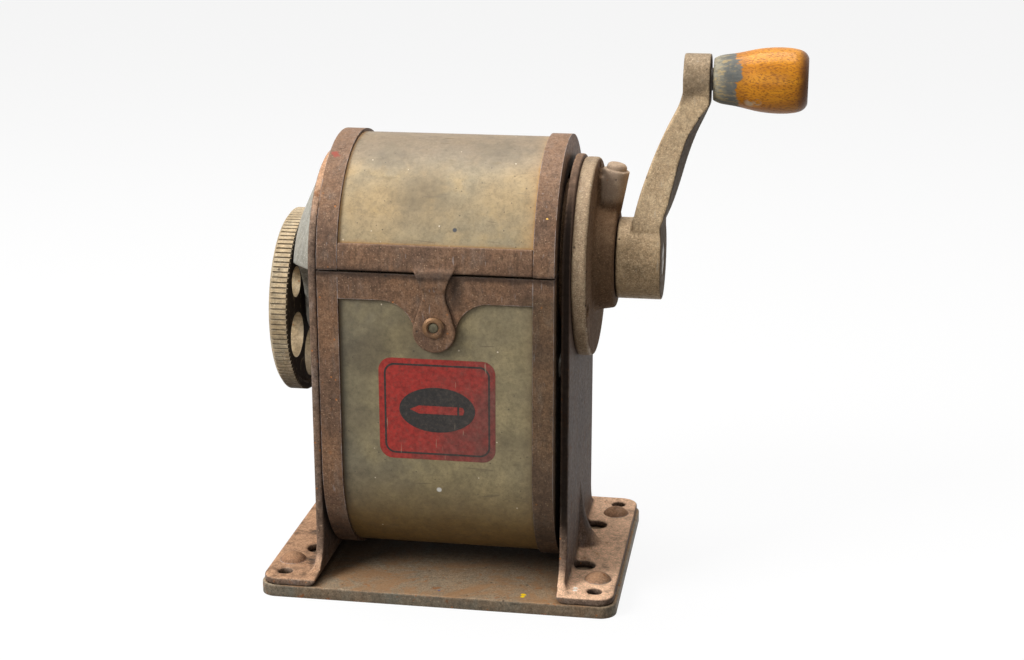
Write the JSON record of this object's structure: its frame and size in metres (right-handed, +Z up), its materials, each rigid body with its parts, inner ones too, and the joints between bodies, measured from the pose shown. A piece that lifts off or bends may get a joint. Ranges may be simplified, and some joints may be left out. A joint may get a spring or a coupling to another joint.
{
  "type": "desk pencil sharpener",
  "caption": "Hand-cranked desk pencil sharpener: pressed stands on a plate, knurled size dial, geared cutters, hinged cover with latch tongue over a windowed shavings box.",
  "frame": {"origin": "middle of the base plate's underside", "axes": "+X along the crank shaft towards the crank, +Z up, -Y towards the cover's latch"},
  "size_m": [0.1284, 0.0666, 0.1326],
  "materials": {
    "rust_paint": "worn enamel, rusted",
    "stand_paint": "worn enamel, dusty",
    "plate_paint": "worn enamel, dusty",
    "dial_paint": "metallic enamel",
    "guide_paint": "metallic enamel",
    "crank_paint": "metallic enamel",
    "housing_paint": "metallic enamel, worn",
    "celluloid": "aged, satin",
    "wood": "varnished",
    "steel": "satin",
    "cutter_steel": "ground",
    "brass": "tarnished"
  },
  "bodies": {
    "frame": {"base_plate": "plate_paint", "left_stand": "stand_paint", "right_stand": "stand_paint", "foot_rivets": "stand_paint", "receptacle_pads": "steel", "guide_housing": "guide_paint", "dial_spring": "steel", "detent_ball": "steel", "dial_pivot_screw": "steel", "dial_washer": "steel", "gear_housing": "housing_paint", "housing_screws": "steel", "lock_screw": "housing_paint", "ring_gear": "steel", "shaft_bush": "brass", "receptacle_window": "celluloid", "receptacle_left_end": "rust_paint", "receptacle_right_end": "rust_paint", "receptacle_front_bar": "rust_paint", "receptacle_rear_bar": "rust_paint", "hinge_pin": "steel"},
    "crank": {"drive_shaft": "steel", "crank_arm": "crank_paint", "crank_screw": "steel", "knob_spindle": "steel", "cutter_carrier": "housing_paint", "cutter_axles": "steel"},
    "upper_cutter": {"cutter_a": "cutter_steel"},
    "lower_cutter": {"cutter_b": "cutter_steel"},
    "knob": {"wooden_knob": "wood"},
    "dial": {"selector_dial": "dial_paint"},
    "cover": {"cover_window": "celluloid", "cover_left_band": "rust_paint", "cover_right_band": "rust_paint", "cover_front_bar": "rust_paint", "cover_rear_bar": "rust_paint", "snap_stud": "brass"}
  },
  "joints": [
    {"name": "crank_turn", "type": "hinge", "parent": "frame", "child": "crank", "pos_m": [0.03, 0, 0.0809], "axis": [1, 0, 0], "continuous": true},
    {"name": "upper_cutter_spin", "type": "hinge", "parent": "crank", "child": "upper_cutter", "pos_m": [0.024, 0, 0.0889], "axis": [0.9833, 0, -0.1822], "continuous": true},
    {"name": "lower_cutter_spin", "type": "hinge", "parent": "crank", "child": "lower_cutter", "pos_m": [0.024, 0, 0.0729], "axis": [0.9833, 0, 0.1822], "continuous": true},
    {"name": "knob_spin", "type": "hinge", "parent": "crank", "child": "knob", "pos_m": [0.062, 0, 0.12485], "axis": [1, 0, 0], "continuous": true},
    {"name": "dial_turn", "type": "hinge", "parent": "frame", "child": "dial", "pos_m": [-0.038, 0, 0.06715], "axis": [1, 0, 0], "continuous": true},
    {"name": "cover_hinge", "type": "hinge", "parent": "frame", "child": "cover", "pos_m": [0, 0.0307, 0.082], "axis": [-1, 0, 0], "range_deg": [0, 100]}
  ],
  "couplings": [
    {"joint": "upper_cutter_spin", "follows": "crank_turn", "ratio": -2.3333},
    {"joint": "lower_cutter_spin", "follows": "crank_turn", "ratio": -2.3333}
  ]
}
